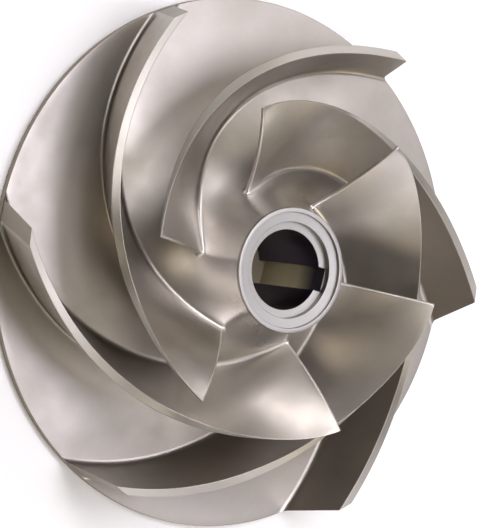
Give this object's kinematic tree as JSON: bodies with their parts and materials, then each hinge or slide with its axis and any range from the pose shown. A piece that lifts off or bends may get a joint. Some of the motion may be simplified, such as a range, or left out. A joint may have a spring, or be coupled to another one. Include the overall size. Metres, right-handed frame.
{
  "type": "semi-open impeller",
  "caption": "Semi-open pump impeller: a back shroud and keyed hub with curved, twisted vanes standing open at the front.",
  "frame": {"origin": "centre of the flat back face, on the shaft axis", "axes": "+Z along the shaft axis from the back face to the nose, +X through the middle of the keyway"},
  "size_m": [0.2712, 0.2712, 0.0701],
  "materials": {
    "cast_steel": "satin, fine blasted casting with machined hub face and vane tips"
  },
  "bodies": {
    "root": {"impeller_casting": "cast_steel"}
  },
  "joints": []
}
